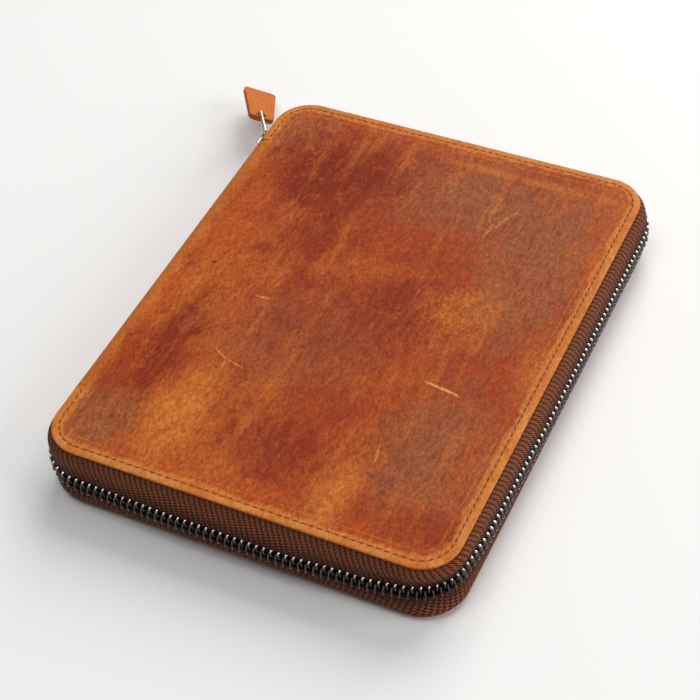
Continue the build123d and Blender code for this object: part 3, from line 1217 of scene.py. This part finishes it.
tooth_rings = [
    (-0.72, 0.55, 0.9),
    (-0.45, 0.92, 1.5),
    (0.35, 1.0, 1.9),
    (0.75, 0.78, 2.0),
    (1.2, 0.95, 2.3),
    (2.45, 0.98, 2.4),
    (2.8, 0.88, 2.2),
    (3.0, 0.56, 1.5),
]
tooth_out = tape_out - tape / 2


def make_teeth(name, rings, places):
    """Teeth or stops of the upper row, clamped on the cord at places along the zip."""
    tooth = loft(name + "_one", [(h * MM, w * MM, d * MM) for h, w, d in rings])
    tooth.data.transform(Matrix.Translation((0, tooth_out, mid_z)))
    soften(tooth)
    row = repeat(tooth, places, name)
    bow(row)
    return row


def chain_places(first, last, shift=0.0):
    """Places at every tooth between two distances along the zip."""
    count = int((last - first - shift) / tooth_pitch + 1e-6) + 1
    return [place_at(zip_run, first + shift + i * tooth_pitch) for i in range(count)]


chain_length = sum(run_length(part) for part in zip_run)
first_tooth = stop_inset + tooth_pitch
last_tooth = chain_length - first_tooth
upper_teeth = make_teeth("upper_teeth", tooth_rings, chain_places(first_tooth, last_tooth))
between_teeth = chain_places(first_tooth, last_tooth, tooth_pitch / 2)
raised_teeth = make_teeth("raised_teeth", tooth_rings, between_teeth)
lower_teeth = mirrored(raised_teeth, "lower_teeth")
bpy.data.objects.remove(raised_teeth)

stop_rings = [
    (0.8, 1.7, 1.7),
    (1.05, 2.3, 2.2),
    (2.6, 2.3, 2.2),
    (2.9, 1.7, 1.7),
]
stop_ends = [place_at(zip_run, stop_inset), place_at(zip_run, chain_length - stop_inset)]
upper_stops = make_teeth("upper_stops", stop_rings, stop_ends)
lower_stops = mirrored(upper_stops, "lower_stops")

for piece, body, nodes in (
    (upper_teeth, "front_cover", ["upper_zip_teeth"]),
    (upper_stops, "front_cover", ["upper_zip_stops"]),
    (lower_teeth, "back_cover", ["lower_zip_teeth"]),
    (lower_stops, "back_cover", ["lower_zip_stop"]),
):
    clothe(piece, tooth_metal)
    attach(piece, body)
    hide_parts(*nodes)

# ---- Slider, link and tab ----


def finer(name, cad_node, width, segments=3, tidy=True):
    """A CAD node's shape with its edges rounded."""
    source = frame["nodes"][cad_node]
    piece = source.copy()
    piece.data = source.data.copy()
    piece.parent = None
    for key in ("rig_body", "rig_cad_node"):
        if key in piece:
            del piece[key]
    piece.name = name
    piece.data.name = name
    bpy.context.scene.collection.objects.link(piece)
    piece.matrix_world = Matrix.Identity(4)
    edit(piece)
    bpy.ops.mesh.select_all(action="SELECT")
    bpy.ops.mesh.remove_doubles(threshold=1e-6)
    if tidy:
        bpy.ops.mesh.dissolve_limited(angle_limit=radians(2))
    done()
    soften(piece, width, segments, 30)
    return piece


slider = finer("slider", "slider_body", 0.32 * MM)
bail = finer("bail", "slider_bail", 0.3 * MM)
link = finer("link", "pull_link", 0)
for piece, cad_node, body in (
    (slider, "slider_body", "zip_slider"),
    (bail, "slider_bail", "zip_slider"),
    (link, "pull_link", "pull_link"),
):
    clothe(piece, slider_metal)
    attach(piece, body)
    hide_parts(cad_node)


def widen_narrow_end(piece, hole, share):
    """Take the tab's narrow end out towards the width of its wide end."""
    points = [vertex.co.copy() for vertex in piece.data.vertices]
    far = max(points, key=lambda p: (p - hole).length)
    middle = sum(points, Vector()) / len(points)
    ends = sorted(points, key=lambda p: -(p - hole).length)[: len(points) // 8]
    long_way = (sum(ends, Vector()) / len(ends) - hole).normalized()
    across = max(points, key=lambda p: ((p - hole) - long_way * (p - hole).dot(long_way)).length)
    across = (across - hole) - long_way * (across - hole).dot(long_way)
    across.normalize()
    length = (far - hole).dot(long_way)
    for vertex in piece.data.vertices:
        reach = (vertex.co - hole).dot(long_way) / length
        away = (vertex.co - hole).dot(across)
        if abs(away) > tab_hole_room:
            vertex.co += across * away * share * (1 - smooth(reach))


hinges = {joint["name"]: joint for joint in frame["joints"]}
tab_hole = Vector(hinges["tab_swing"]["pos_m"])
tab_hole_room = 2.2 * MM
for cad_node in ("pull_tab_face", "pull_tab_backing"):
    piece = finer(cad_node.replace("pull_", ""), cad_node, 0.22 * MM)
    widen_narrow_end(piece, tab_hole, 0.25)
    clothe(piece, tab_leather)
    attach(piece, "pull_tab")
    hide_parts(cad_node)

# ---- Pockets and boards ----


def pocket_run():
    """Where a pocket is sewn down: its two sides and its bottom."""
    r = pocket_turn
    left, right = pocket_low.x + pocket_hem, pocket_high.x - pocket_hem
    low, top = pocket_low.y + pocket_hem, pocket_high.y
    z = pocket_high.z - pocket_stitch_sink
    return [
        straight((left, top, z), (left, low + r, z)),
        turn((left + r, low + r, z), (left, low + r, z), UP, pi / 2, UP),
        straight((left + r, low, z), (right - r, low, z)),
        turn((right - r, low + r, z), (right - r, low, z), UP, pi / 2, UP),
        straight((right, low + r, z), (right, top, z)),
    ]


lower_pocket_stitches = repeat(
    make_stitch(),
    places_along(pocket_run(), pocket_stitch_start, stitch_pitch),
    "lower_pocket_stitches",
)
upper_pocket_stitches = mirrored(lower_pocket_stitches, "upper_pocket_stitches")
for sewn, cad_node, body in (
    (lower_pocket_stitches, "back_pocket", "back_cover"),
    (upper_pocket_stitches, "front_pocket", "front_cover"),
):
    clothe(sewn, thread)
    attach(sewn, body)
    piece = finer(cad_node + "_panel", cad_node, 0.25 * MM, tidy=False)
    clothe(piece, pocket_hide)
    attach(piece, body)
    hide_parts(cad_node)
for cad_node in ("back_board", "spine_board", "front_board"):
    clothe(frame["nodes"][cad_node], board_material)

# ---- Floor and light ----

bpy.ops.mesh.primitive_plane_add(size=14, location=(0, 0, 0))
floor = fresh("floor")
floor_material, _, floor_shader, _ = new_material("floor_material")
floor_shader.inputs["Base Color"].default_value = (0.78, 0.78, 0.78, 1)
floor_shader.inputs["Roughness"].default_value = 0.85
floor.data.materials.append(floor_material)


def soft_light(name, spot, size, power, colour=(1, 1, 1)):
    """A square area light that faces the case."""
    data = bpy.data.lights.new(name, "AREA")
    data.size = size
    data.energy = power
    data.color = colour
    light = bpy.data.objects.new(name, data)
    bpy.context.scene.collection.objects.link(light)
    light.location = spot
    light.rotation_euler = Vector(spot).to_track_quat("Z", "Y").to_euler()


soft_light("window", (0.1, 1.3, 1.2), 1.5, 30, (1.0, 0.97, 0.93))
soft_light("side", (1.3, 0.2, 0.7), 0.9, 11, (1.0, 0.97, 0.94))
soft_light("overhead", (-0.1, -0.4, 1.5), 0.7, 8)
world = bpy.data.worlds.new("studio")
world.use_nodes = True
world.node_tree.nodes["Background"].inputs["Color"].default_value = (0.95, 0.97, 1.0, 1)
world.node_tree.nodes["Background"].inputs["Strength"].default_value = 0.17
bpy.context.scene.world = world
bpy.context.scene.view_settings.view_transform = "Standard"
